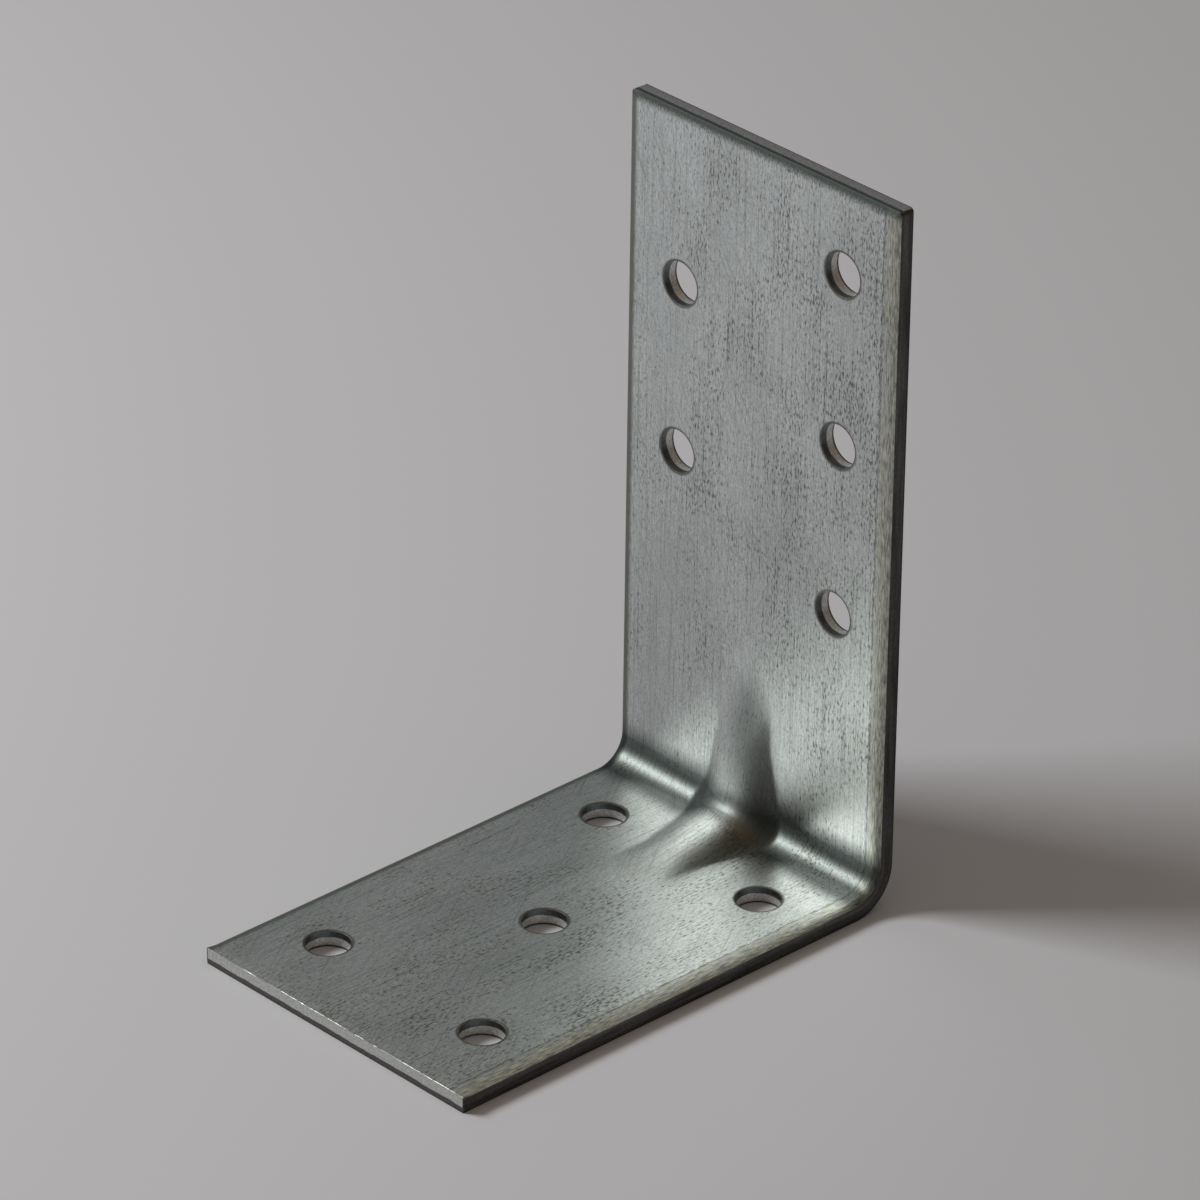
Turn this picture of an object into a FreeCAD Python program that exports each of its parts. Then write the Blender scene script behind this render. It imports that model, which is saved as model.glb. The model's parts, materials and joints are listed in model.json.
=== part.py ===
import FreeCAD, Part
import math
import os
import Sketcher

# Ribbed angle bracket: one strip of galvanised sheet, blanked and punched from its inner face,
# folded once, and pressed in from outside at the fold to a stiffening rib.
# X runs across the strip, the upright leg stands at +Y and the base leg points to -Y.
# The body is drawn from its heel, where the back and the underside would meet, at mid width,
# and its placement puts the origin on the underside at the middle of the whole bracket.

dimensions = [
    ("width", 40.0, "strip, across"),
    ("upright_height", 83.0, "underside to top end"),
    ("base_length", 62.0, "back to front end"),
    ("thickness", 2.0, "sheet"),
    ("bend_radius", 3.25, "inside of the fold"),
    ("roll_width", 1.2, "rolled edge, along the inner face"),
    ("roll_depth", 0.4, "rolled edge, down the cut face"),
    ("roll_nose", 0.2, "radius where the rolled edge turns into the cut face"),
    ("hole_diameter", 5.0, "punched nail hole"),
    ("hole_mouth", 0.25, "rolled mouth of a hole, along the inner face, per side"),
    ("hole_roll", 0.12, "rolled mouth of a hole, down its wall"),
    ("hole_land", 0.8, "inner face to the end of a hole's straight wall"),
    ("hole_break", 0.15, "how much wider a hole tears out at the back, per side"),
    ("hole_end", 10.0, "outermost hole to the leg's end"),
    ("hole_side", 8.0, "hole column to the strip's side"),
    ("hole_heel", 12.0, "last row of the base to the back"),
    ("hole_pitch", 20.0, "between the holes of one column of the upright"),
    ("rib_offset", -0.8, "rib's middle from mid width, pressed a little to the left"),
    ("rib_reach", 20.0, "heel to the rib's run-out, on each leg"),
    ("rib_slope", 8.5, "crest against each leg, degrees"),
    ("rib_turn", 3.0, "crest's radius round the corner"),
    ("rib_crest", 7.0, "radius across the crest"),
    ("rib_flank", 36.0, "flank against the leg, degrees"),
    ("rib_foot", 0.8, "radius between flank and leg"),
]

doc = FreeCAD.newDocument("angle_bracket")
sizes = doc.addObject("Spreadsheet::Sheet", "sizes")
for row, (alias, value, note) in enumerate(dimensions, start=1):
    sizes.set("A%d" % row, alias)
    sizes.set("B%d" % row, str(value))
    sizes.set("C%d" % row, note)
    sizes.setAlias("B%d" % row, alias)
doc.recompute()

body = doc.addObject("PartDesign::Body", "angle_bracket")
body.Label = "angle_bracket"
volumes = [0.0]


def size(alias):
    return float(sizes.get(alias))


def outer_radius():
    return size("thickness") + size("bend_radius")


# Sheet expressions that more than one sketch uses.
outer_bend = "(sizes.thickness + sizes.bend_radius)"
half_width = "(sizes.width / 2)"
face_half = "(sizes.width / 2 - sizes.roll_width)"
cut_depth = "(sizes.thickness - sizes.roll_depth)"
behind = "(2 * " + outer_bend + ")"


# Sketching


def origin(role):
    return next(f for f in body.Origin.OriginFeatures if f.Role == role)


def new_sketch(name, role, offset=None):
    """A sketch on one of the body's planes, moved along the plane's normal by an expression."""
    sketch = body.newObject("Sketcher::SketchObject", name)
    sketch.AttachmentSupport = [(origin(role), "")]
    sketch.MapMode = "FlatFace"
    if offset:
        sketch.setExpression("AttachmentOffset.Base.z", offset)
    return sketch


def line(sketch, start, end, construction=False):
    first = FreeCAD.Vector(start[0], start[1], 0)
    last = FreeCAD.Vector(end[0], end[1], 0)
    return sketch.addGeometry(Part.LineSegment(first, last), construction)


def arc(sketch, centre, radius, first, last):
    """Counter-clockwise arc between two angles in degrees."""
    middle = FreeCAD.Vector(centre[0], centre[1], 0)
    circle = Part.Circle(middle, FreeCAD.Vector(0, 0, 1), radius)
    curve = Part.ArcOfCircle(circle, math.radians(first), math.radians(last))
    return sketch.addGeometry(curve, False)


def constrain(sketch, kind, *spots):
    sketch.addConstraint(Sketcher.Constraint(kind, *spots))


def join(sketch, *pairs):
    for (geo_a, end_a), (geo_b, end_b) in pairs:
        constrain(sketch, "Coincident", geo_a, end_a, geo_b, end_b)


def smooth(sketch, *pairs):
    """Joins ends so that the two curves run into each other without a corner."""
    for (geo_a, end_a), (geo_b, end_b) in pairs:
        constrain(sketch, "Tangent", geo_a, end_a, geo_b, end_b)


def bind(sketch, constraint, name, expression):
    index = sketch.addConstraint(constraint)
    sketch.renameConstraint(index, name)
    sketch.setExpression("Constraints." + name, expression)


def place(sketch, geo, end, name, across, up):
    """Fixes a point of the sketch by its two coordinates, each an expression."""
    at = sketch.getPoint(geo, end)
    bind(sketch, Sketcher.Constraint("DistanceX", -1, 1, geo, end, at.x), name + "_x", across)
    bind(sketch, Sketcher.Constraint("DistanceY", -1, 1, geo, end, at.y), name + "_y", up)


def set_radius(sketch, geo, name, expression):
    radius = sketch.Geometry[geo].Radius
    bind(sketch, Sketcher.Constraint("Radius", geo, radius), name, expression)


# Features


def checked(feature, sign):
    """Recomputes, and makes sure that the feature added material (sign 1) or took some away (-1)."""
    doc.recompute()
    if "Invalid" in feature.State or not feature.Shape.isValid():
        raise RuntimeError(feature.Name + " failed")
    change = feature.Shape.Volume - volumes[-1]
    if change * sign <= 0:
        raise RuntimeError("%s changed the volume by %.3f" % (feature.Name, change))
    volumes.append(feature.Shape.Volume)
    return feature


def pipe(kind, name, section, path):
    feature = body.newObject("PartDesign::" + kind, name)
    feature.Profile = section
    feature.Spine = (path, ["Edge%d" % (i + 1) for i in range(path.GeometryCount)])
    return feature


def through_pocket(name, sketch):
    pocket = body.newObject("PartDesign::Pocket", name)
    pocket.Profile = sketch
    pocket.Type = "ThroughAll"
    pocket.Midplane = True
    return pocket


def blend(name, base, edges, radius):
    fillet = body.newObject("PartDesign::Fillet", name)
    fillet.Base = (base, edges)
    fillet.setExpression("Radius", radius)
    return fillet


# The folded strip


def roll_shape():
    """Radius of the rolled edge's long arc, and the angle at which it meets the short one."""
    wide = size("roll_width") - size("roll_nose")
    deep, nose = size("roll_depth"), size("roll_nose")
    radius = (wide * wide + deep * deep - nose * nose) / (2 * (deep - nose))
    return radius, math.degrees(math.atan2(radius - deep, wide))


def strip_section():
    """The flat strip's cross-section, rolled over at both sides of its upper, inner face."""
    side, top = size("width") / 2, size("thickness")
    cut, nose = top - size("roll_depth"), size("roll_nose")
    flat = side - size("roll_width")
    roll, turn = roll_shape()
    sketch = new_sketch("strip_section", "XZ_Plane", "sizes.base_length")
    under = line(sketch, (-side, 0), (side, 0))
    right = line(sketch, (side, 0), (side, cut))
    nose_right = arc(sketch, (side - nose, cut), nose, 0, turn)
    roll_right = arc(sketch, (flat, top - roll), roll, turn, 90)
    face = line(sketch, (flat, top), (-flat, top))
    roll_left = arc(sketch, (-flat, top - roll), roll, 90, 180 - turn)
    nose_left = arc(sketch, (nose - side, cut), nose, 180 - turn, 180)
    left = line(sketch, (-side, cut), (-side, 0))
    join(sketch, ((under, 2), (right, 1)), ((left, 2), (under, 1)))
    smooth(sketch, ((right, 2), (nose_right, 1)), ((nose_right, 2), (roll_right, 1)))
    smooth(sketch, ((roll_right, 2), (face, 1)), ((face, 2), (roll_left, 1)))
    smooth(sketch, ((roll_left, 2), (nose_left, 1)), ((nose_left, 2), (left, 1)))
    place(sketch, under, 1, "under_left", "-" + half_width, "0")
    place(sketch, under, 2, "under_right", half_width, "0")
    place(sketch, right, 2, "cut_right", half_width, cut_depth)
    place(sketch, left, 1, "cut_left", "-" + half_width, cut_depth)
    place(sketch, face, 1, "face_right", face_half, "sizes.thickness")
    place(sketch, face, 2, "face_left", "-" + face_half, "sizes.thickness")
    set_radius(sketch, nose_right, "nose_right", "sizes.roll_nose")
    set_radius(sketch, nose_left, "nose_left", "sizes.roll_nose")
    return sketch


def heel_line(sketch):
    """Underside, fold and back, seen from the right. Returns the two straight runs."""
    length, height, r = size("base_length"), size("upright_height"), outer_radius()
    base = line(sketch, (-length, 0), (-r, 0))
    fold = arc(sketch, (-r, r), r, 270, 360)
    upright = line(sketch, (0, r), (0, height))
    smooth(sketch, ((base, 2), (fold, 1)), ((fold, 2), (upright, 1)))
    place(sketch, base, 1, "front", "-sizes.base_length", "0")
    place(sketch, upright, 2, "top", "0", "sizes.upright_height")
    set_radius(sketch, fold, "outer_bend", outer_bend)
    constrain(sketch, "Horizontal", base)
    constrain(sketch, "Vertical", upright)
    return base, upright


def fold_path():
    sketch = new_sketch("fold_path", "YZ_Plane")
    heel_line(sketch)
    return sketch


def front_roll(sketch):
    """What the blanking rolls off the inner face at the base's front end, seen from the right."""
    end, top = -size("base_length"), size("thickness")
    cut, nose = top - size("roll_depth"), size("roll_nose")
    inner, clear = end + size("roll_width"), end - top
    roll, turn = roll_shape()
    long_arc = arc(sketch, (inner, top - roll), roll, 90, 180 - turn)
    short_arc = arc(sketch, (end + nose, cut), nose, 180 - turn, 180)
    out = line(sketch, (end, cut), (clear, cut))
    rise = line(sketch, (clear, cut), (clear, 2 * top))
    over = line(sketch, (clear, 2 * top), (inner, 2 * top))
    down = line(sketch, (inner, 2 * top), (inner, top))
    smooth(sketch, ((long_arc, 2), (short_arc, 1)))
    join(sketch, ((short_arc, 2), (out, 1)), ((out, 2), (rise, 1)), ((rise, 2), (over, 1)))
    join(sketch, ((over, 2), (down, 1)), ((down, 2), (long_arc, 1)))
    constrain(sketch, "Horizontal", short_arc, 3, short_arc, 2)
    constrain(sketch, "Vertical", long_arc, 3, long_arc, 1)
    inner_at = "-sizes.base_length + sizes.roll_width"
    clear_at = "-sizes.base_length - sizes.thickness"
    place(sketch, out, 1, "front_cut", "-sizes.base_length", cut_depth)
    place(sketch, out, 2, "front_low", clear_at, cut_depth)
    place(sketch, over, 1, "front_clear", clear_at, "2 * sizes.thickness")
    place(sketch, over, 2, "front_over", inner_at, "2 * sizes.thickness")
    place(sketch, down, 2, "front_face", inner_at, "sizes.thickness")
    set_radius(sketch, short_arc, "front_nose", "sizes.roll_nose")


def top_roll(sketch):
    """The same at the upright's top end."""
    end, top = size("upright_height"), size("thickness")
    cut, nose = top - size("roll_depth"), size("roll_nose")
    inner, clear = end - size("roll_width"), end + top
    roll, turn = roll_shape()
    long_arc = arc(sketch, (roll - top, inner), roll, 90 + turn, 180)
    short_arc = arc(sketch, (-cut, end - nose), nose, 90, 90 + turn)
    out = line(sketch, (-cut, end), (-cut, clear))
    side = line(sketch, (-cut, clear), (-2 * top, clear))
    down = line(sketch, (-2 * top, clear), (-2 * top, inner))
    back = line(sketch, (-2 * top, inner), (-top, inner))
    smooth(sketch, ((long_arc, 1), (short_arc, 2)))
    join(sketch, ((short_arc, 1), (out, 1)), ((out, 2), (side, 1)), ((side, 2), (down, 1)))
    join(sketch, ((down, 2), (back, 1)), ((back, 2), (long_arc, 2)))
    constrain(sketch, "Vertical", short_arc, 3, short_arc, 1)
    constrain(sketch, "Horizontal", long_arc, 3, long_arc, 2)
    inner_at = "sizes.upright_height - sizes.roll_width"
    clear_at = "sizes.upright_height + sizes.thickness"
    place(sketch, out, 1, "top_cut", "-" + cut_depth, "sizes.upright_height")
    place(sketch, out, 2, "top_high", "-" + cut_depth, clear_at)
    place(sketch, down, 1, "top_clear", "-2 * sizes.thickness", clear_at)
    place(sketch, down, 2, "top_over", "-2 * sizes.thickness", inner_at)
    place(sketch, back, 2, "top_face", "-sizes.thickness", inner_at)
    set_radius(sketch, short_arc, "top_nose", "sizes.roll_nose")


def end_rolls():
    sketch = new_sketch("end_rolls", "YZ_Plane")
    front_roll(sketch)
    top_roll(sketch)
    return sketch


# The rib. Its sweep carries on past the run-out, inside the sheet, and reaches well behind the fold,
# so what stands out behind the back and the underside is trimmed off before the hollow is pressed in.

slope = "(sizes.rib_slope * 1 deg)"
tail_end = "(sizes.rib_reach + 2 * sizes.thickness)"
tail_height = "(sizes.thickness - 2 * sizes.thickness * tan" + slope + ")"


def rib_tail():
    """Distance from the heel, and height above the leg's outer face, where the sweep ends."""
    carried = 2 * size("thickness")
    drop = carried * math.tan(math.radians(size("rib_slope")))
    return size("rib_reach") + carried, size("thickness") - drop


def rib_path():
    """The rib's crest seen from the right: it leaves each leg at a slope and rounds the corner."""
    lean = math.radians(size("rib_slope"))
    end, low = rib_tail()
    turn = size("rib_turn")
    corner = (size("thickness") + size("rib_reach") * math.tan(lean)) / (1 + math.tan(lean))
    trim = turn * math.tan(math.pi / 4 - lean)
    start = (-corner - trim * math.cos(lean), corner - trim * math.sin(lean))
    centre = (start[0] - turn * math.sin(lean), start[1] + turn * math.cos(lean))
    sketch = new_sketch("rib_path", "YZ_Plane", "sizes.rib_offset")
    base = line(sketch, (-end, low), start)
    bend = arc(sketch, centre, turn, 270 + size("rib_slope"), 360 - size("rib_slope"))
    upright = line(sketch, (-start[1], -start[0]), (-low, end))
    smooth(sketch, ((base, 2), (bend, 1)), ((bend, 2), (upright, 1)))
    place(sketch, base, 1, "front", "-" + tail_end, tail_height)
    place(sketch, upright, 2, "top", "-" + tail_height, tail_end)
    set_radius(sketch, bend, "turn", "sizes.rib_turn")
    steep = math.pi / 2 - lean
    bind(sketch, Sketcher.Constraint("Angle", base, lean), "base_slope", slope)
    bind(sketch, Sketcher.Constraint("Angle", upright, steep), "top_slope", "90 deg - " + slope)
    return sketch


def rib_section(name, below, crest_expression):
    """A round crest and two straight flanks, square to the front end of the rib's path.
    below is how far this surface lies under the rib's outer one."""
    flank, crest = math.radians(size("rib_flank")), size("rib_crest")
    end, low = rib_tail()
    sketch = new_sketch(name, "XZ_Plane")
    turned = FreeCAD.Rotation(FreeCAD.Vector(1, 0, 0), size("rib_slope"))
    at = FreeCAD.Vector(size("rib_offset"), low, end)
    sketch.AttachmentOffset = FreeCAD.Placement(at, turned)
    sketch.setExpression("AttachmentOffset.Base.x", "sizes.rib_offset")
    sketch.setExpression("AttachmentOffset.Base.y", tail_height)
    sketch.setExpression("AttachmentOffset.Base.z", tail_end)
    sketch.setExpression("AttachmentOffset.Rotation.Angle", slope)
    radius, skirt = crest - below, 2 * outer_radius()
    side, top = radius * math.sin(flank), radius * math.cos(flank) - crest
    foot = side + (top + skirt) / math.tan(flank)
    dome = arc(sketch, (0, -crest), radius, 90 - size("rib_flank"), 90 + size("rib_flank"))
    left = line(sketch, (-foot, -skirt), (-side, top))
    right = line(sketch, (foot, -skirt), (side, top))
    bottom = line(sketch, (-foot, -skirt), (foot, -skirt))
    smooth(sketch, ((left, 2), (dome, 2)), ((right, 2), (dome, 1)))
    join(sketch, ((bottom, 1), (left, 1)), ((bottom, 2), (right, 1)))
    constrain(sketch, "PointOnObject", dome, 3, -2)
    constrain(sketch, "Symmetric", left, 1, right, 1, -2)
    bind(sketch, Sketcher.Constraint("DistanceY", -1, 1, dome, 3, -crest), "centre", "-sizes.rib_crest")
    bind(sketch, Sketcher.Constraint("DistanceY", -1, 1, left, 1, -skirt), "skirt", "-" + behind)
    bind(sketch, Sketcher.Constraint("Angle", left, flank), "flank", "sizes.rib_flank * 1 deg")
    set_radius(sketch, dome, "crest", crest_expression)
    return sketch


def outside():
    """Everything behind the back and under the underside, as far as the rib's sweep reaches."""
    length, height, far = size("base_length"), size("upright_height"), 2 * outer_radius()
    sketch = new_sketch("outside", "YZ_Plane")
    base, upright = heel_line(sketch)
    top = line(sketch, (0, height), (far, height))
    back = line(sketch, (far, height), (far, -far))
    under = line(sketch, (far, -far), (-length, -far))
    front = line(sketch, (-length, -far), (-length, 0))
    join(sketch, ((upright, 2), (top, 1)), ((top, 2), (back, 1)), ((back, 2), (under, 1)))
    join(sketch, ((under, 2), (front, 1)), ((front, 2), (base, 1)))
    place(sketch, back, 1, "back_top", behind, "sizes.upright_height")
    place(sketch, under, 1, "back_low", behind, "-" + behind)
    place(sketch, under, 2, "front_low", "-sizes.base_length", "-" + behind)
    return sketch


def depth(point):
    """How far a point lies inside the back and the underside, measured through the sheet."""
    r = outer_radius()
    if point.y > -r and point.z < r:
        return r - math.hypot(point.y + r, point.z - r)
    return min(-point.y, point.z)


def rib_edges(shape, level):
    """Names of the edges where the rib leaves the sheet's surface at this depth."""
    reach = size("width") / 2 - size("roll_width")
    names = []
    for number, edge in enumerate(shape.Edges, start=1):
        points = edge.discretize(9)
        on_surface = all(abs(depth(p) - level) < 1e-4 for p in points)
        if on_surface and all(abs(p.x) < 0.999 * reach for p in points):
            names.append("Edge%d" % number)
    return names


# Nail holes


def punched_hole(name, leg, column, along):
    """One nail hole, turned about its axis: rolled mouth, straight wall, and a torn, wider back.
    column is its place across the strip and along its place on the leg, both expressions."""
    r, mouth, t = size("hole_diameter") / 2, size("hole_mouth"), size("thickness")
    land, torn = t - size("hole_land"), r + size("hole_break")
    rolled = size("hole_roll")
    roll = (mouth * mouth + rolled * rolled) / (2 * rolled)
    turn = math.degrees(math.asin(mouth / roll))
    upright = leg == "upright"

    def spot(out, up):
        return (-up, out) if upright else (out, up)

    sketch = new_sketch(name + "_section", "YZ_Plane", column)
    sketch.setExpression("AttachmentOffset.Base." + ("y" if upright else "x"), along)
    quarter = 90 if upright else 0
    axis = line(sketch, spot(0, -t), spot(0, 2 * t), True)
    low = line(sketch, spot(0, -t), spot(torn, -t))
    skirt = line(sketch, spot(torn, -t), spot(torn, 0))
    cone = line(sketch, spot(torn, 0), spot(r, land))
    wall = line(sketch, spot(r, land), spot(r, t - rolled))
    lip = arc(sketch, spot(r + mouth, t - roll), roll, 90 + quarter, 90 + quarter + turn)
    clear = line(sketch, spot(r + mouth, t), spot(r + mouth, 2 * t))
    high = line(sketch, spot(r + mouth, 2 * t), spot(0, 2 * t))
    middle = line(sketch, spot(0, 2 * t), spot(0, -t))
    join(sketch, ((low, 2), (skirt, 1)), ((skirt, 2), (cone, 1)), ((cone, 2), (wall, 1)))
    join(sketch, ((wall, 2), (lip, 2)), ((lip, 1), (clear, 1)), ((clear, 2), (high, 1)))
    join(sketch, ((high, 2), (middle, 1)), ((middle, 2), (low, 1)))
    join(sketch, ((axis, 1), (low, 1)), ((axis, 2), (high, 2)))
    at_wall = "sizes.hole_diameter / 2"
    at_torn, at_lip = at_wall + " + sizes.hole_break", at_wall + " + sizes.hole_mouth"
    points = [
        (low, 1, "axis_low", "0", "-sizes.thickness"),
        (low, 2, "torn_low", at_torn, "-sizes.thickness"),
        (skirt, 2, "torn", at_torn, "0"),
        (cone, 2, "land", at_wall, "sizes.thickness - sizes.hole_land"),
        (wall, 2, "wall", at_wall, "sizes.thickness - sizes.hole_roll"),
        (clear, 1, "lip", at_lip, "sizes.thickness"),
        (clear, 2, "lip_high", at_lip, "2 * sizes.thickness"),
        (high, 2, "axis_high", "0", "2 * sizes.thickness"),
    ]
    for geo, end, label, out, up in points:
        across, height = ("-(" + up + ")", out) if upright else (out, up)
        place(sketch, geo, end, label, across, height)
    constrain(sketch, "Horizontal" if upright else "Vertical", lip, 3, lip, 1)
    groove = body.newObject("PartDesign::Groove", name)
    groove.Profile = sketch
    groove.ReferenceAxis = (sketch, ["Axis0"])
    groove.Angle = 360
    return checked(groove, -1)


def hole_column(leg, side, column, first, count, step):
    """A punched hole repeated along its leg: down the upright, or out along the base."""
    hole = punched_hole(leg + "_" + side + "_hole", leg, column, first)
    pattern = body.newObject("PartDesign::LinearPattern", leg + "_" + side + "_column")
    pattern.Originals = [hole]
    pattern.Direction = (origin("Z_Axis" if leg == "upright" else "Y_Axis"), [""])
    pattern.Reversed = True
    pattern.Mode = "Spacing"
    pattern.setExpression("Occurrences", count)
    pattern.setExpression("Offset", step)
    body.Tip = pattern
    return checked(pattern, -1)


def fitting(first):
    """How many holes an upright column takes from this one down, keeping clear of the rib's run-out."""
    lowest = "(sizes.rib_reach + sizes.hole_diameter)"
    return "floor((" + first + " - " + lowest + ") / sizes.hole_pitch) + 1"


checked(pipe("AdditivePipe", "strip", strip_section(), fold_path()), 1)
checked(through_pocket("rolled_ends", end_rolls()), -1)

crest_path = rib_path()
rib_top = rib_section("rib_section", 0.0, "sizes.rib_crest")
checked(pipe("AdditivePipe", "rib", rib_top, crest_path), 1)
checked(through_pocket("rib_trim", outside()), -1)
rib_under = rib_section("hollow_section", size("thickness"), "sizes.rib_crest - sizes.thickness")
hollow = checked(pipe("SubtractivePipe", "rib_hollow", rib_under, crest_path), -1)
foot_edges = rib_edges(hollow.Shape, size("thickness"))
foot = checked(blend("rib_foot", hollow, foot_edges, "sizes.rib_foot"), 1)
mouth_edges = rib_edges(foot.Shape, 0.0)
checked(blend("hollow_mouth", foot, mouth_edges, "sizes.rib_foot + sizes.thickness"), -1)

right_column = "(sizes.width / 2 - sizes.hole_side)"
left_column = "-" + right_column
top_hole = "(sizes.upright_height - sizes.hole_end)"
half_lower = "(sizes.upright_height - sizes.hole_end - sizes.hole_pitch / 2)"
heel_row = "-sizes.hole_heel"
base_step = "(sizes.base_length - sizes.hole_end - sizes.hole_heel)"
middle_row = "(" + heel_row + " - " + base_step + " / 2)"
hole_column("upright", "right", right_column, top_hole, fitting(top_hole), "sizes.hole_pitch")
hole_column("upright", "left", left_column, half_lower, fitting(half_lower), "sizes.hole_pitch")
hole_column("base", "right", right_column, heel_row, "2", base_step)
hole_column("base", "left", left_column, heel_row, "2", base_step)
punched_hole("base_middle_hole", "base", "0", middle_row)

body.setExpression("Placement.Base.y", "sizes.base_length / 2")
doc.recompute()

for item in doc.Objects:
    if "Invalid" in item.State or "Error" in item.State:
        raise RuntimeError(item.Name + " failed")
    if item.isDerivedFrom("Sketcher::SketchObject") and not item.FullyConstrained:
        raise RuntimeError(item.Name + " isn't fully constrained")
solid = body.Shape
if solid.isNull() or not solid.isValid() or len(solid.Solids) != 1:
    raise RuntimeError("the bracket isn't one valid solid")
os.makedirs("parts", exist_ok=True)
solid.exportStep("parts/angle_bracket.step")
print("angle_bracket", round(solid.Volume, 3), "mm3", solid.optimalBoundingBox())
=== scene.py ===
import bpy
import json
import math
from mathutils import Matrix, Vector


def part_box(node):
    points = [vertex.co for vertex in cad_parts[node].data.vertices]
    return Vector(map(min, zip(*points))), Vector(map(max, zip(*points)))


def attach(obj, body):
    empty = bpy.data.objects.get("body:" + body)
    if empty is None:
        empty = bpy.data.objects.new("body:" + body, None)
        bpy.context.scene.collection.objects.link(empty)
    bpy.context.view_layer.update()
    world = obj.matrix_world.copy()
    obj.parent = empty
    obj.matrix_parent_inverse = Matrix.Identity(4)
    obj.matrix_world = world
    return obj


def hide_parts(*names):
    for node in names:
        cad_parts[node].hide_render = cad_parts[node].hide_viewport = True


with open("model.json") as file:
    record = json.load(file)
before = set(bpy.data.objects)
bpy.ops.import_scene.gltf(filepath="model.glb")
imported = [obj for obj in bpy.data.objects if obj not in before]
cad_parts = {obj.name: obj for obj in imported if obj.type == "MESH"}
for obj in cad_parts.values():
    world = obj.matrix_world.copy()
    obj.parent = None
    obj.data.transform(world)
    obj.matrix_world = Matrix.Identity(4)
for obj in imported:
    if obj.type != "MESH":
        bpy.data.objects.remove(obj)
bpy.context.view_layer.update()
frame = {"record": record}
mm = 0.001


# hex sRGB to the linear colour that the shaders take
def linear(hexColour):
    parts = [int(hexColour[i:i + 2], 16) / 255 for i in (1, 3, 5)]
    return tuple(c / 12.92 if c <= 0.04045 else ((c + 0.055) / 1.055) ** 2.4 for c in parts) + (1.0,)


# one node with its settings; an input takes a value, a node, a socket or a list of nodes
def addNode(tree, kind, inputs=None, **settings):
    node = tree.nodes.new(kind)
    for name, value in settings.items():
        setattr(node, name, value)
    for key, value in (inputs or {}).items():
        for source in value if isinstance(value, list) else [value]:
            if isinstance(source, bpy.types.Node):
                source = source.outputs[0]
            if isinstance(source, bpy.types.NodeSocket):
                tree.links.new(source, node.inputs[key])
            else:
                node.inputs[key].default_value = source
    return node


def addMesh(name, points, faces):
    mesh = bpy.data.meshes.new(name)
    mesh.from_pydata(points, [], faces)
    piece = bpy.data.objects.new(name, mesh)
    bpy.context.scene.collection.objects.link(piece)
    return piece


# Camera, at the photograph's place
cameraView = {
    "azimuth": 46.311,       # degrees
    "elevation": 28.928,
    "roll": -0.801,
    "distance": 901.1,       # mm, lens to aim
    "aim": (-1.147, 7.575, 37.22),   # mm
    "lens": 258.19,          # mm
    "frameWidth": 36.0,
}


def setCamera(view):
    a, e, r = (math.radians(view[k]) for k in ("azimuth", "elevation", "roll"))
    back = Vector((math.sin(a) * math.cos(e), -math.cos(a) * math.cos(e), math.sin(e)))
    level = Vector((math.cos(a), math.sin(a), 0))
    rise = back.cross(level)
    right = level * math.cos(r) - rise * math.sin(r)
    up = rise * math.cos(r) + level * math.sin(r)
    data = bpy.data.cameras.new("photoCamera")
    data.sensor_width = view["frameWidth"]
    data.lens = view["lens"]
    camera = bpy.data.objects.new("photoCamera", data)
    bpy.context.scene.collection.objects.link(camera)
    place = (Vector(view["aim"]) + back * view["distance"]) * mm
    axes = Matrix((right, up, back)).transposed().to_4x4()
    camera.matrix_world = Matrix.Translation(place) @ axes
    bpy.context.scene.camera = camera


setCamera(cameraView)
print("camera set")

# Pale paper floor, one soft light from the left, a dim room
studio = {
    "floorSize": 6.0,              # m
    "paper": "#DCDFE8",
    "paperRoughness": 0.9,
    "paperGloss": 0.2,
    "room": "#292725",             # dim towards the front
    "sides": (                     # colour, direction, and how far round from it the colour starts
        ("#747C80", (-0.78, 0.55, 0.3), -0.1),     # pale wall at the back and on the left
        ("#60564E", (0.75, 0.63, 0.2), -0.1),      # warm glow on the right
        ("#96897A", (0, 0, 0.95), 0.5),            # ceiling
    ),
    "sideFull": 0.9,
    "lightFrom": (-0.65, -0.47, 0.60),
    "lightAim": (0, 0, 0.03),      # m
    "lightDistance": 0.68,
    "lightWidth": 0.27,
    "lightHeight": 0.20,
    "lightPower": 2.9,             # W
    "lightTone": "#FFFDF8",
}


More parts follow.
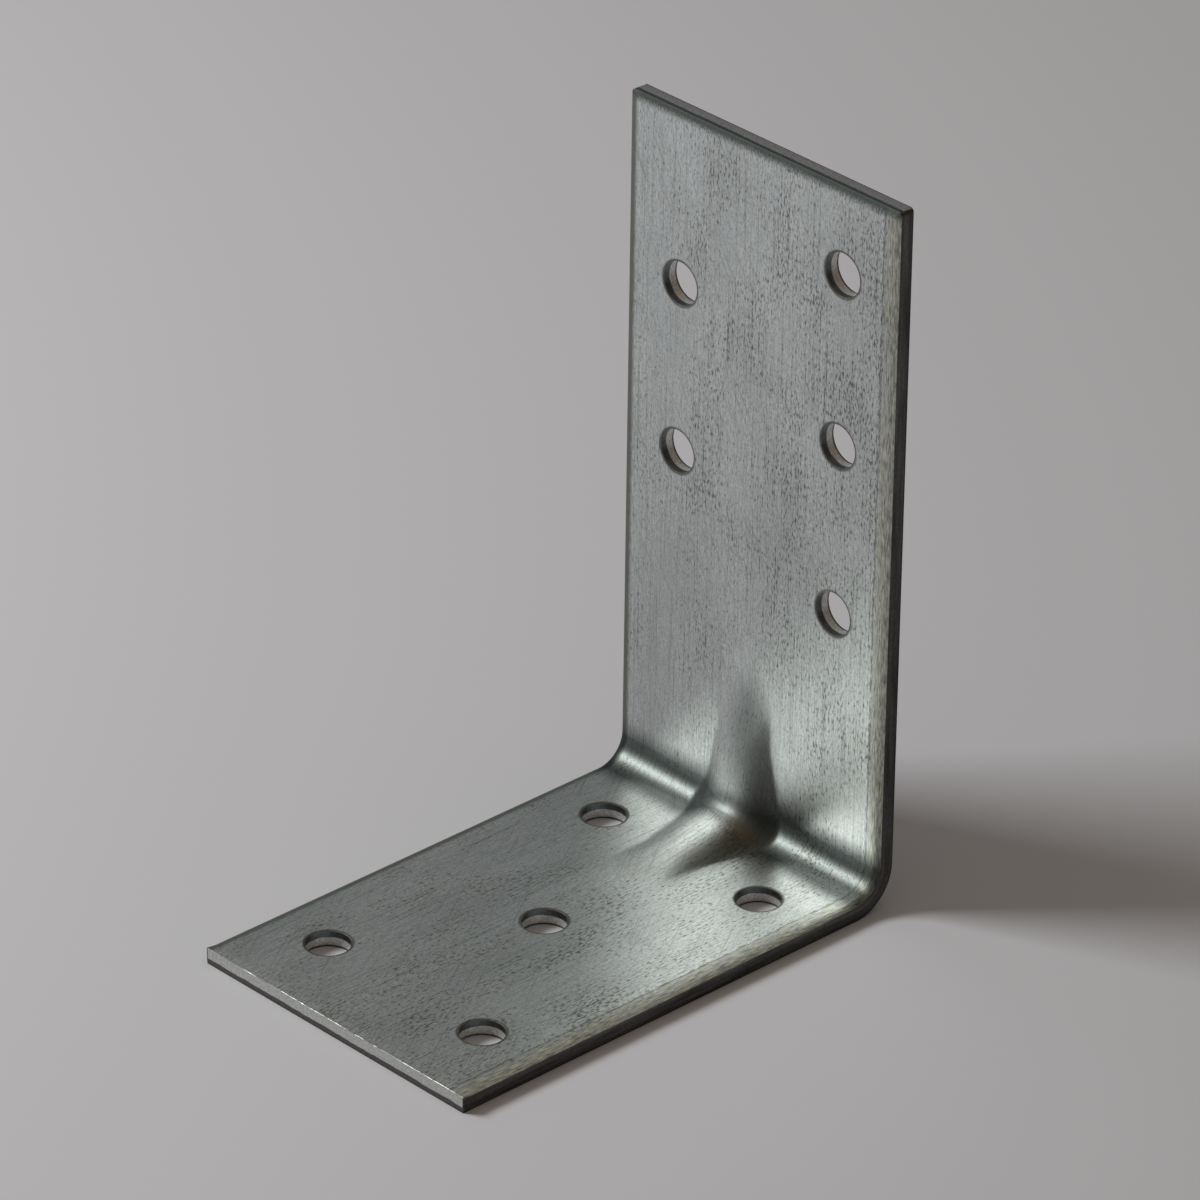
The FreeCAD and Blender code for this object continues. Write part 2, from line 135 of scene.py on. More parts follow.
def buildStudio(s):
    half = s["floorSize"] / 2
    corners = [(-half, -half, 0), (half, -half, 0), (half, half, 0), (-half, half, 0)]
    floor = addMesh("floor", corners, [(0, 1, 2, 3)])
    paper = bpy.data.materials.new("paper")
    paper.use_nodes = True
    shader = paper.node_tree.nodes["Principled BSDF"]
    shader.inputs["Base Color"].default_value = linear(s["paper"])
    shader.inputs["Roughness"].default_value = s["paperRoughness"]
    shader.inputs["Specular IOR Level"].default_value = s["paperGloss"]
    floor.data.materials.append(paper)
    world = bpy.data.worlds.new("room")
    world.use_nodes = True
    tree = world.node_tree
    away = addNode(tree, "ShaderNodeTexCoord").outputs["Generated"]
    tint = linear(s["room"])
    for tone, direction, start in s["sides"]:
        towards = addNode(tree, "ShaderNodeVectorMath", {0: away, 1: direction}, operation="DOT_PRODUCT")
        share = addNode(tree, "ShaderNodeMapRange",
                        {"Value": towards.outputs["Value"], "From Min": start, "From Max": s["sideFull"]},
                        interpolation_type="SMOOTHSTEP")
        tint = addNode(tree, "ShaderNodeMix", {0: share, 6: tint, 7: linear(tone)},
                       data_type="RGBA").outputs[2]
    tree.links.new(tint, tree.nodes["Background"].inputs["Color"])
    bpy.context.scene.world = world
    lampData = bpy.data.lights.new("window", "AREA")
    lampData.shape = "RECTANGLE"
    lampData.size = s["lightWidth"]
    lampData.size_y = s["lightHeight"]
    lampData.energy = s["lightPower"]
    lampData.color = linear(s["lightTone"])[:3]
    lamp = bpy.data.objects.new("window", lampData)
    bpy.context.scene.collection.objects.link(lamp)
    towards = Vector(s["lightFrom"]).normalized()
    lamp.location = Vector(s["lightAim"]) + towards * s["lightDistance"]
    lamp.rotation_euler = towards.to_track_quat("Z", "Y").to_euler()


buildStudio(studio)
print("studio set")

# The bracket: a flat strip that is punched, pressed and folded, in mm
low, high = ([c / mm for c in corner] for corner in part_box("angle_bracket"))
strip = {
    "width": high[0] - low[0],
    "baseLength": high[1] - low[1],
    "uprightHeight": high[2] - low[2],
    "thickness": 2.0,
    "foldRadius": 5.25,      # outside of the fold
    "rollWidth": 1.2,        # edges drawn down by the shear
    "rollDepth": 0.26,
    "frontRoll": 0.3,        # share of it left at the front end
    "arris": 0.07,           # front arris, worn round in places
    "wornLength": 0.9,
    "wornStart": 0.42,       # noise where the wear starts and is full
    "wornFull": 0.6,
    "cornerRound": 0.5,      # top corners
    "breakHeight": 0.74,     # torn lower part of a sheared face
    "breakLean": 0.06,
    "ribOffset": -0.55,      # from the strip's middle
    "ribReach": 19.0,        # from the heel to where the crest runs out
    "ribShoulder": 12.0,     # from the heel to where the rib stops narrowing
    "ribSlope": math.radians(8.5),
    "ribTurn": 3.0,          # crest's radius at the fold
    "ribCrest": 7.0,         # crest's radius across
    "ribFlank": math.radians(36),
    "ribLeft": 0.86,         # gentler on the left
    "ribFoot": 0.25,         # softness of its right foot
    "ribFootLeft": 0.45,
    "ribFootBlend": 2.0,     # each side of the crest, from one to the other
    "ribEnd": 0.35,          # softness of its end
    "waviness": 0.03,
    "waveLength": 18.0,
    "cutSlope": 0.5,         # a face that stands steeper was sheared
    "sharpAngle": math.radians(38),
}
foldStart = strip["baseLength"] - strip["foldRadius"]
foldEnd = foldStart + strip["foldRadius"] * math.pi / 2
flatLength = foldEnd + strip["uprightHeight"] - strip["foldRadius"]
ribTan = math.tan(strip["ribSlope"])
ribCorner = (strip["thickness"] + strip["ribReach"] * ribTan) / (1 + ribTan)
strip["foldStart"] = foldStart
strip["foldEnd"] = foldEnd
strip["flatLength"] = flatLength
# from the fold's centre to the centre of the crest's turn
strip["turnPlace"] = (math.sqrt(2) * (ribCorner - strip["foldRadius"])
                      + strip["ribTurn"] / math.sin(math.pi / 4 + strip["ribSlope"]))

# Hot-dip galvanised sheet, rolled: satin cool grey zinc with dark flecks and fine lines along the strip
zinc = {
    "tone": "#DBE0E0",
    "dullTone": "#CED3D3",
    "lineTone": "#9FA5A3",
    "fleckTone": "#5F5D55",
    "crazeShadeTone": "#8B908F",          # cracked over the fold, and partly painted shade there
    "rolledShadeTone": "#5E6460",         # painted shade over the rolled top end
    # dark scuffs, also used as painted shade on the left edge and along the crease
    "scuffAndShadeDark": "#6E726B",
    "scuffPale": "#DAD8CA",
    "rimShadeTone": "#4F4A40",            # painted shade round the holes, with a brown tint
    "roughness": 0.45,
    "fleckRoughness": 0.5,
    "scuffRoughness": 0.58,
    "crazeRoughness": 0.42,
    "burnishedRoughness": 0.37,      # rubbed by the press beside the fold, right of the rib
    "patterns": {                    # mm across and along the strip, and how much fine detail
        "patches": (9.0, 20.0, 2.0),
        "clusters": (6.0, 10.0, 3.0),
        "flecks": (0.22, 0.66, 2.0),     # the real ones are finer, too fine to show
        "specks": (0.18, 0.34, 2.0),
        "grains": (0.13, 1.8, 2.0),
        "lines": (0.24, 14.0, 2.0),
        "scuffs": (0.16, 1.4, 4.0),
        "scratches": (0.14, 14.0, 0.0),
    },
    "patternStep": (7.3, 3.1, 0.0),  # mm, so that no two patterns fall together
    "scratchTurn": math.radians(32),
    "shows": {                       # noise where a pattern starts and is full, and its share there
        "patches": (0.3, 0.7, 1.0),
        "flecks": (0.3, 0.7, 0.8),       # as they mottle the stain
        "specks": (0.46, 0.86, 0.45),
        "grains": (0.45, 0.75, 1.0),
        "lines": (0.5, 0.75, 1.0),
        "scuffs": (0.3, 0.7, 1.0),
        "scratches": (0.74, 0.8, 0.35),
    },
    "fleckStart": 0.53,
    "fleckFull": 0.84,
    "fleckShare": 0.84,
    "crowdLeast": -0.3,              # between clusters
    "crowdMost": 0.1,                # in them
    "crowdLines": 0.25,
    "crowdRight": 0.0025,            # for each mm to the right
    "crowdPressed": -0.05,           # by the fold
    "lineShare": 0.6,
    "lineDepth": 0.004,              # mm
    "fleckDepth": 0.004,
    "patchHeight": 0.05,
    "sideBlend": 1.0,                # mm each side of the middle, from left to right
    "scuffStart": 18.25,             # mm from the strip's middle
    "scuffFull": 18.8,
    "scuffRagged": 0.6,
    "scuffLeft": 0.8,                # mm narrower on the left
    # the left band is nearly all dark, partly painted shade
    "scuffLeftShare": 0.95,
    "scuffRightShare": 0.7,
    "scuffLeftPale": 0.05,
    "creaseShadeWidth": 0.16,
    "rolledWidth": 1.45,             # mm from the top end
    "rolledRagged": 0.8,
    "rimStart": 2.95,                # mm from a hole's middle
    "rimFull": 2.6,
    "rimShadeShare": 0.8,
    "darkCrestTone": "#7E8482",            # crest painted darker on the upright
    "darkCrestPlace": (0.0, 12.0),         # mm across and along from the fold's middle
    "darkCrestSize": (3.5, 9.0),
    "darkCrestShare": 0.68,
    "shadedFlankTone": "#5C605C",           # painted shade on the rib's right flank, the side turned from the light
    "shadedFlankPlace": (2.9, -1.5),
    "shadedFlankSize": (2.7, 18.0),
    "shadedFlankShare": 0.8,
    "stainTone": "#6A5A36",          # press oil baked on the rib
    "stainPlace": (2.2, -4.5),
    "stainSize": (2.4, 4.5),
    "markCore": 0.3,                 # share of a mark's size where it is full
    "pressedEnd": 30.0,              # mm along the strip from the fold's middle
    "burnishedEnd": 14.0,
    "crazeEnd": 6.0,
    "crazeFull": 3.5,
    "burnishedSide": 4.0,            # mm from the strip's middle
}


def buildGalvanised(z):
    material = bpy.data.materials.new("galvanisedSheet")
    material.use_nodes = True
    tree = material.node_tree
    calc, ramp, mix = "ShaderNodeMath", "ShaderNodeMapRange", "ShaderNodeMix"
    flat = addNode(tree, "ShaderNodeAttribute", attribute_name="flat").outputs["Vector"]
    spot = addNode(tree, "ShaderNodeSeparateXYZ", {0: flat})
    across, along = spot.outputs["X"], spot.outputs["Y"]
    pattern, shown = {}, {}
    for number, (name, (wide, tall, detail)) in enumerate(z["patterns"].items()):
        turn = z["scratchTurn"] if name == "scratches" else 0
        spread = addNode(tree, "ShaderNodeMapping",
                         {"Vector": flat, "Location": tuple(step * number for step in z["patternStep"]),
                          "Rotation": (0, 0, turn), "Scale": (wide, tall, 1)}, vector_type="TEXTURE")
        pattern[name] = addNode(tree, "ShaderNodeTexNoise",
                                {"Vector": spread, "Scale": 1.0, "Detail": detail}, noise_dimensions="2D")
    for name, (start, full, share) in z["shows"].items():
        shown[name] = addNode(tree, ramp, {"Value": pattern[name], "From Min": start, "From Max": full,
                                           "To Max": share})
    middle = (strip["foldStart"] + strip["foldEnd"]) / 2
    fromFold = addNode(tree, calc, {0: along, 1: middle}, operation="SUBTRACT")
    awayFromFold = addNode(tree, calc, {0: fromFold}, operation="ABSOLUTE")
    rightward = addNode(tree, ramp, {"Value": across, "From Min": -z["sideBlend"],
                                     "From Max": z["sideBlend"]})
    # flecks crowd in clusters and in lines along the strip, and thin out to the left and by the fold
    crowd = addNode(tree, ramp, {"Value": pattern["clusters"], "To Min": z["crowdLeast"],
                                 "To Max": z["crowdMost"]})
    crowd = addNode(tree, calc, {0: pattern["lines"], 1: z["crowdLines"], 2: crowd},
                    operation="MULTIPLY_ADD")
    crowd = addNode(tree, calc, {0: across, 1: z["crowdRight"], 2: crowd}, operation="MULTIPLY_ADD")
    pressed = addNode(tree, ramp, {"Value": awayFromFold, "From Min": z["pressedEnd"],
                                   "From Max": z["crazeEnd"], "To Max": z["crowdPressed"]})
    crowd = addNode(tree, calc, {0: crowd, 1: pressed}, operation="ADD")
    fleck = addNode(tree, calc, {0: pattern["flecks"], 1: crowd}, operation="ADD")
    fleck = addNode(tree, ramp, {"Value": fleck, "From Min": z["fleckStart"], "From Max": z["fleckFull"],
                                 "To Max": z["fleckShare"]}, interpolation_type="SMOOTHSTEP")
    for name in ("specks", "scratches"):
        fleck = addNode(tree, calc, {0: fleck, 1: shown[name]}, operation="MAXIMUM")
    tone = addNode(tree, mix, {0: shown["patches"], 6: linear(z["dullTone"]), 7: linear(z["tone"])},
                   data_type="RGBA")
    thin = addNode(tree, calc, {0: shown["lines"], 1: shown["grains"]}, operation="MAXIMUM")
    thin = addNode(tree, calc, {0: thin, 1: z["lineShare"]}, operation="MULTIPLY")
    tone = addNode(tree, mix, {0: thin, 6: tone.outputs[2], 7: linear(z["lineTone"])}, data_type="RGBA")
    tone = addNode(tree, mix, {0: fleck, 6: tone.outputs[2], 7: linear(z["fleckTone"])}, data_type="RGBA")
    # the slit sides are scuffed along the strip, paler on the right; the dark band on the left edge is
    # partly painted shade
    left = addNode(tree, calc, {0: across, 1: -1.0, 2: -z["scuffLeft"]}, operation="MULTIPLY_ADD")
    edge = addNode(tree, calc, {0: across, 1: left}, operation="MAXIMUM")
    edge = addNode(tree, calc, {0: pattern["scuffs"], 1: z["scuffRagged"], 2: edge},
                   operation="MULTIPLY_ADD")
    side = addNode(tree, ramp, {"Value": edge, "From Min": z["scuffStart"], "From Max": z["scuffFull"]})
    pale = addNode(tree, ramp, {"Value": rightward, "To Min": z["scuffLeftPale"]})
    streak = addNode(tree, calc, {0: shown["scuffs"], 1: pale}, operation="MULTIPLY")
    scuff = addNode(tree, mix, {0: streak, 6: linear(z["scuffAndShadeDark"]), 7: linear(z["scuffPale"])},
                    data_type="RGBA")
    sideShare = addNode(tree, ramp, {"Value": rightward, "To Min": z["scuffLeftShare"],
                                     "To Max": z["scuffRightShare"]})
    sideShare = addNode(tree, calc, {0: side, 1: sideShare}, operation="MULTIPLY")
    tone = addNode(tree, mix, {0: sideShare, 6: tone.outputs[2], 7: scuff.outputs[2]}, data_type="RGBA")
    # painted shade: a thin dark line along the crease at the inner border of the scuffed band
    creaseShade = addNode(tree, calc, {0: edge, 1: z["scuffStart"], 2: z["creaseShadeWidth"]}, operation="COMPARE")
    creaseShade = addNode(tree, calc, {0: creaseShade, 1: streak}, operation="MULTIPLY")
    tone = addNode(tree, mix, {0: creaseShade, 6: tone.outputs[2], 7: linear(z["scuffAndShadeDark"])}, data_type="RGBA")
    # painted shade over the rolled top end, and a brown-tinted painted shade round the holes
    uneven = addNode(tree, calc, {0: pattern["specks"], 1: z["rolledRagged"], 2: along},
                     operation="MULTIPLY_ADD")
    top = addNode(tree, ramp, {"Value": uneven,
                               "From Min": strip["flatLength"] - z["rolledWidth"] + z["rolledRagged"] / 2,
                               "From Max": strip["flatLength"] + z["rolledRagged"] / 4},
                  interpolation_type="SMOOTHSTEP")
    tone = addNode(tree, mix, {0: top, 6: tone.outputs[2], 7: linear(z["rolledShadeTone"])}, data_type="RGBA")
    fromHole = addNode(tree, "ShaderNodeAttribute", attribute_name="fromHole").outputs["Fac"]
    rim = addNode(tree, ramp, {"Value": fromHole, "From Min": z["rimStart"], "From Max": z["rimFull"],
                               "To Max": z["rimShadeShare"]}, interpolation_type="SMOOTHSTEP")
    tone = addNode(tree, mix, {0: rim, 6: tone.outputs[2], 7: linear(z["rimShadeTone"])}, data_type="RGBA")
    # zinc crazes where the sheet is folded; its colour there is painted darker, partly painted shade
    fold = addNode(tree, ramp, {"Value": awayFromFold, "From Min": z["crazeEnd"],
                                "From Max": z["crazeFull"]})
    tone = addNode(tree, mix, {0: fold, 6: tone.outputs[2], 7: linear(z["crazeShadeTone"])}, data_type="RGBA",
                   blend_type="MULTIPLY")
    # marks about the fold: a crest painted darker on the upright, painted shade on the rib's right flank,
    # and a brown stain
    aboutFold = addNode(tree, "ShaderNodeCombineXYZ", {"X": across, "Y": fromFold})
    for name, share in (("darkCrest", z["darkCrestShare"]), ("shadedFlank", z["shadedFlankShare"]), ("stain", shown["flecks"])):
        around = addNode(tree, "ShaderNodeMapping",
                         {"Vector": aboutFold, "Location": z[name + "Place"] + (0,),
                          "Scale": z[name + "Size"] + (1,)}, vector_type="TEXTURE")
        around = addNode(tree, "ShaderNodeVectorMath", {0: around}, operation="LENGTH").outputs["Value"]
        mark = addNode(tree, ramp, {"Value": around, "From Min": 1.0, "From Max": z["markCore"]})
        mark = addNode(tree, calc, {0: mark, 1: share}, operation="MULTIPLY")
        tone = addNode(tree, mix, {0: mark, 6: tone.outputs[2], 7: linear(z[name + "Tone"])},
                       data_type="RGBA")
    # duller where it is flecked or scuffed, brighter where the press rubbed it
    rough = addNode(tree, ramp, {"Value": fleck, "To Min": z["roughness"], "To Max": z["fleckRoughness"]})
    rough = addNode(tree, ramp, {"Value": side, "To Min": rough, "To Max": z["scuffRoughness"]})
    burnished = addNode(tree, ramp, {"Value": awayFromFold, "From Min": z["burnishedEnd"],
                                     "From Max": z["crazeEnd"]})
    onRight = addNode(tree, ramp, {"Value": across, "From Max": z["burnishedSide"]})
    burnished = addNode(tree, calc, {0: burnished, 1: onRight}, operation="MULTIPLY")
    rough = addNode(tree, ramp, {"Value": burnished, "To Min": rough, "To Max": z["burnishedRoughness"]})
    rough = addNode(tree, ramp, {"Value": fold, "To Min": rough, "To Max": z["crazeRoughness"]})
    # rolled lines, pits and slow waves
    relief = addNode(tree, calc, {0: shown["lines"], 1: -z["lineDepth"]}, operation="MULTIPLY")
    relief = addNode(tree, calc, {0: fleck, 1: -z["fleckDepth"], 2: relief}, operation="MULTIPLY_ADD")
    relief = addNode(tree, calc, {0: pattern["patches"], 1: z["patchHeight"], 2: relief},
                     operation="MULTIPLY_ADD")
    bump = addNode(tree, "ShaderNodeBump", {"Height": relief, "Distance": mm, "Strength": 1.0})
    shader = tree.nodes["Principled BSDF"]
    shader.inputs["Metallic"].default_value = 1.0
    tree.links.new(tone.outputs[2], shader.inputs["Base Color"])
    tree.links.new(rough.outputs[0], shader.inputs["Roughness"])
    tree.links.new(bump.outputs[0], shader.inputs["Normal"])
    return material


# Bare sheared steel: a smooth land where the blade cut, a dull rough band where the sheet tore
shear = {
    "landPaintedLightTone": "#D4D7D4",           # front end, painted lit
    "shadedLandTone": "#6A7173",       # hole walls and top end, painted shaded
    "tornPaintedLightTone": "#EEEEEC",           # hole walls, painted lit
    # front end's torn band, painted shaded
    "shadedFrontTornTone": "#6F6B68",
    "topTornTone": "#B8B6B9",
    "footShadowTone": "#2E2D2C",           # painted shadow at the back of a hole's wall
    "slitTone": "#6E6E6C",
    "slitDark": "#50504F",
    "landRoughness": 0.3,
    "tornRoughness": 0.55,
    "landRelief": 0.01,              # mm
    "tornRelief": 0.03,
    "nearEdge": 0.12,                # mm that count as a side or an end
    "border": 0.74,                  # mm from the back of the sheet to the land
    "holeBorder": 1.2,
    "topBorder": 1.45,
    "borderSoft": 0.04,
    "wander": 0.3,                   # mm the border strays
    "drift": 1.667,                  # mm along the edge in which it does
    "foot": 0.28,                    # mm
    "footShare": 0.9,
    "marks": 0.3,                    # mm
    "markStart": 0.3,                # noise where the marks start and are full
    "markFull": 0.7,
    "markDark": 0.75,                # what they make of the colour
    "markPale": 1.1,
    "streakLength": 9.0,             # mm along the slit sides
    "streakWidth": 0.25,
    "streakDepth": 0.625,
    "streakStart": 0.35,
    "streakFull": 0.65,
}


def buildSheared(s):
    material = bpy.data.materials.new("shearedSteel")
    material.use_nodes = True
    tree = material.node_tree
    calc, ramp, mix = "ShaderNodeMath", "ShaderNodeMapRange", "ShaderNodeMix"
    flat = addNode(tree, "ShaderNodeAttribute", attribute_name="flat").outputs["Vector"]
    spot = addNode(tree, "ShaderNodeSeparateXYZ", {0: flat})
    across, along, depth = spot.outputs["X"], spot.outputs["Y"], spot.outputs["Z"]
    marks = addNode(tree, "ShaderNodeTexNoise", {"Vector": flat, "Scale": 1 / s["marks"], "Detail": 2.0})
    slow = addNode(tree, "ShaderNodeTexNoise", {"Vector": flat, "Scale": 1 / s["drift"], "Detail": 2.0})
    drawn = (1 / s["streakWidth"], 1 / s["streakLength"], 1 / s["streakDepth"])
    drawn = addNode(tree, "ShaderNodeMapping", {"Vector": flat, "Scale": drawn})
    streaks = addNode(tree, "ShaderNodeTexNoise", {"Vector": drawn, "Scale": 1.0, "Detail": 2.0})
    # which face this is
    sideways = addNode(tree, calc, {0: across}, operation="ABSOLUTE")
    slit = addNode(tree, calc, {0: sideways, 1: strip["width"] / 2 - s["nearEdge"]},
                   operation="GREATER_THAN")
    front = addNode(tree, calc, {0: along, 1: s["nearEdge"]}, operation="LESS_THAN")
    top = addNode(tree, calc, {0: along, 1: strip["flatLength"] - s["nearEdge"]}, operation="GREATER_THAN")
    end = addNode(tree, calc, {0: front, 1: top}, operation="MAXIMUM")
    end = addNode(tree, calc, {0: end, 1: slit}, operation="MAXIMUM")
    # smooth land above a wandering border; the land is painted lit at the front end and shaded elsewhere,
    # the torn band painted lit in the holes and shaded at the front end
    border = addNode(tree, ramp, {"Value": end, "To Min": s["holeBorder"], "To Max": s["border"]})
    border = addNode(tree, ramp, {"Value": top, "To Min": border, "To Max": s["topBorder"]})
    stray = addNode(tree, ramp, {"Value": slow, "To Min": -s["wander"] / 2, "To Max": s["wander"] / 2})
    land = addNode(tree, calc, {0: depth, 1: border}, operation="SUBTRACT")
    land = addNode(tree, calc, {0: land, 1: stray}, operation="ADD")
    land = addNode(tree, ramp, {"Value": land, "From Min": -s["borderSoft"], "From Max": s["borderSoft"]})
    landPaintedLightTone = addNode(tree, mix, {0: front, 6: linear(s["shadedLandTone"]), 7: linear(s["landPaintedLightTone"])},
                       data_type="RGBA")
    tornPaintedLightTone = addNode(tree, mix, {0: front, 6: linear(s["tornPaintedLightTone"]), 7: linear(s["shadedFrontTornTone"])},
                       data_type="RGBA")
    tornPaintedLightTone = addNode(tree, mix, {0: top, 6: tornPaintedLightTone.outputs[2], 7: linear(s["topTornTone"])},
                       data_type="RGBA")
    tone = addNode(tree, mix, {0: land, 6: tornPaintedLightTone.outputs[2], 7: landPaintedLightTone.outputs[2]}, data_type="RGBA")
    # painted shadow at the foot of a hole's wall
    foot = addNode(tree, ramp, {"Value": depth, "From Min": s["foot"], "From Max": s["foot"] / 2,
                                "To Max": s["footShare"]})
    foot = addNode(tree, ramp, {"Value": end, "To Min": foot, "To Max": 0.0})
    tone = addNode(tree, mix, {0: foot, 6: tone.outputs[2], 7: linear(s["footShadowTone"])}, data_type="RGBA")
    # streaks along the slit sides
    dull = addNode(tree, ramp, {"Value": streaks, "From Min": s["streakStart"], "From Max": s["streakFull"]})
    slitTone = addNode(tree, mix, {0: dull, 6: linear(s["slitDark"]), 7: linear(s["slitTone"])},
                       data_type="RGBA")
    tone = addNode(tree, mix, {0: slit, 6: tone.outputs[2], 7: slitTone.outputs[2]}, data_type="RGBA")
    blotch = addNode(tree, ramp, {"Value": marks, "From Min": s["markStart"], "From Max": s["markFull"],
                                  "To Min": s["markDark"], "To Max": s["markPale"]})
    tone = addNode(tree, mix, {0: 1.0, 6: tone.outputs[2], 7: blotch}, data_type="RGBA",
                   blend_type="MULTIPLY")
    rough = addNode(tree, ramp, {"Value": land, "To Min": s["tornRoughness"], "To Max": s["landRoughness"]})
    relief = addNode(tree, ramp, {"Value": land, "To Min": s["tornRelief"], "To Max": s["landRelief"]})
    relief = addNode(tree, calc, {0: relief, 1: marks}, operation="MULTIPLY")
    bump = addNode(tree, "ShaderNodeBump", {"Height": relief, "Distance": mm, "Strength": 1.0})
    shader = tree.nodes["Principled BSDF"]
    shader.inputs["Metallic"].default_value = 1.0
    tree.links.new(tone.outputs[2], shader.inputs["Base Color"])
    tree.links.new(rough.outputs[0], shader.inputs["Roughness"])
    tree.links.new(bump.outputs[0], shader.inputs["Normal"])
    return material


galvanised = buildGalvanised(zinc)
shearedSteel = buildSheared(shear)
print("materials made")

lattice = {                  # mm between the blank's lines
    "flat": 1.2,
    "rib": 0.33,
    "ribWidth": 8.0,         # finely ruled on each side of the rib
    "ribLength": 16.0,       # and on each side of the fold
    "rollSteps": 8,
    "layers": (0.0, 0.25, 0.5, 0.74, 1.0, 1.5, 2.0),   # through the thickness
}

hole = {
    "mouth": 0.22,           # mm, rim drawn in by the punch
    "mouthDepth": 0.06,
    "land": 0.8,             # smooth part of the wall
    "flare": 0.15,           # torn part, widest at the back
    "overrun": 1.0,          # tool past the sheet's faces
    "clearance": 0.02,       # tool's shoulder over the inner face
    "segments": 56,
    "mouthSteps": 6,
}


def ruled(stretches):
    lines = [stretches[0][0]]
    for start, stop, step in stretches:
        count = max(1, round((stop - start) / step))
        lines += [start + (stop - start) * i / count for i in range(1, count + 1)]
    return lines


def rolledLines(width, steps):   # closer together towards the nose
    return [width * (1 - math.sin(math.pi / 2 * i / steps)) for i in range(steps, 0, -1)]


def blankLines(s, l):
    near = rolledLines(s["rollWidth"], l["rollSteps"])
    half = s["width"] / 2
    inner = half - s["rollWidth"]
    ribLeft, ribRight = s["ribOffset"] - l["ribWidth"], s["ribOffset"] + l["ribWidth"]
    across = [-half + e for e in near]
    across += ruled([(-inner, ribLeft, l["flat"]), (ribLeft, ribRight, l["rib"]),
                     (ribRight, inner, l["flat"])])
    across += [half - e for e in reversed(near)]
    fromFold, toFold = foldStart - l["ribLength"], foldEnd + l["ribLength"]
    along = list(near)
    along += ruled([(s["rollWidth"], fromFold, l["flat"]), (fromFold, toFold, l["rib"]),
                    (toFold, flatLength - s["rollWidth"], l["flat"])])
    along += [flatLength - e for e in reversed(near)]
    return across, along, list(l["layers"])


def buildBlank(lines):           # the surface of a box ruled by three sets of lines
    index, points, faces = {}, [], []
    for axis in range(3):
        p, q = (axis + 1) % 3, (axis + 2) % 3
        for side in (0, len(lines[axis]) - 1):
            for i in range(len(lines[p]) - 1):
                for j in range(len(lines[q]) - 1):
                    ring = [(i, j), (i + 1, j), (i + 1, j + 1), (i, j + 1)]
                    quad = []
                    for a, b in ring if side else reversed(ring):
                        key = [0, 0, 0]
                        key[axis], key[p], key[q] = side, a, b
                        key = tuple(key)
                        if key not in index:
                            index[key] = len(points)
                            points.append([lines[n][key[n]] for n in range(3)])
                        quad.append(index[key])
                    faces.append(quad)
    return addMesh("bracket", points, faces)


def buildPunch(h, radius, thickness):    # a lathe-turned tool, from below the sheet to above it
    turn = 2 * math.atan(h["mouthDepth"] / h["mouth"])
    rim = h["mouth"] / math.sin(turn)
    landFoot = thickness - h["land"]
    lean = h["flare"] / landFoot
    profile = [(radius + h["flare"] + lean * h["overrun"], -h["overrun"]), (radius, landFoot)]
    for i in range(h["mouthSteps"] + 1):
        angle = turn * (1 - i / h["mouthSteps"])
        outward = radius + h["mouth"] - rim * math.sin(angle)
        profile.append((outward, thickness - rim * (1 - math.cos(angle))))
    shoulder = radius + h["mouth"] + h["overrun"]
    profile += [(shoulder, thickness + h["clearance"]), (shoulder, thickness + h["overrun"])]
    n = h["segments"]
    points = [(r * math.cos(2 * math.pi * i / n), r * math.sin(2 * math.pi * i / n), z)
              for r, z in profile for i in range(n)]
    faces = [[k * n + i, k * n + (i + 1) % n, (k + 1) * n + (i + 1) % n, (k + 1) * n + i]
             for k in range(len(profile) - 1) for i in range(n)]
    faces.append(list(reversed(range(n))))
    faces.append([(len(profile) - 1) * n + i for i in range(n)])
    return addMesh("punch", points, faces)


def flatPlace(point):            # a place on the folded bracket, laid out on the flat strip
    x, y, z = (c / mm for c in point)
    if y - low[1] < foldStart:
        return x, y - low[1]
    return x, foldEnd + z - strip["foldRadius"]


def holeColumns():               # across, along, pitch and count of each column of nail holes
    columns = []
    for mount in frame["record"]["mounts"]:
        if mount["kind"] == "bolt_pattern":
            across, along = flatPlace(mount["pos_m"])
            gap = mount["dims"].get("spacing_x_mm", 0)
            pitch = mount["dims"].get("spacing_y_mm", 0)
            for side in ((-gap / 2, gap / 2) if gap else (0,)):
                columns.append((across + side, along - pitch / 2, pitch, 2 if pitch else 1))
    return columns


